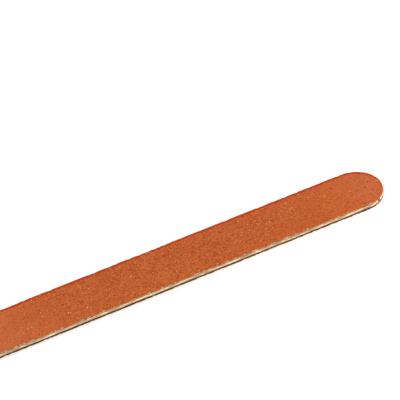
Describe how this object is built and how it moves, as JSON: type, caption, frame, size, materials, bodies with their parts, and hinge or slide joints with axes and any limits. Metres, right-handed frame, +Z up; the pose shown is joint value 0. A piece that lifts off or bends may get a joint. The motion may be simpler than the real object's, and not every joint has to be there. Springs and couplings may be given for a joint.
{
  "type": "sanding stick",
  "caption": "Flat double-sided sanding stick: a wooden strip with fully rounded ends and an orange-brown abrasive sheet glued to each face.",
  "frame": {"origin": "centre of the underside, where the stick rests on a flat surface", "axes": "+X along the stick's length, +Y across its width, +Z up through its thickness"},
  "size_m": [0.178, 0.013, 0.0015],
  "materials": {
    "wood": "sawn, unfinished",
    "glue": "dried glue, satin",
    "pale_paper": "cut edge, matte",
    "brown_paper": "cut edge, matte",
    "resin": "hard resin, satin",
    "grit": "fine abrasive grain, matte"
  },
  "bodies": {
    "root": {"wood_core": "wood", "glue_film_top": "glue", "backing_paper_top": "pale_paper", "resin_bond_top": "resin", "grit_coat_top": "grit", "glue_film_bottom": "glue", "backing_paper_bottom": "brown_paper", "resin_bond_bottom": "resin", "grit_coat_bottom": "grit"}
  },
  "joints": []
}
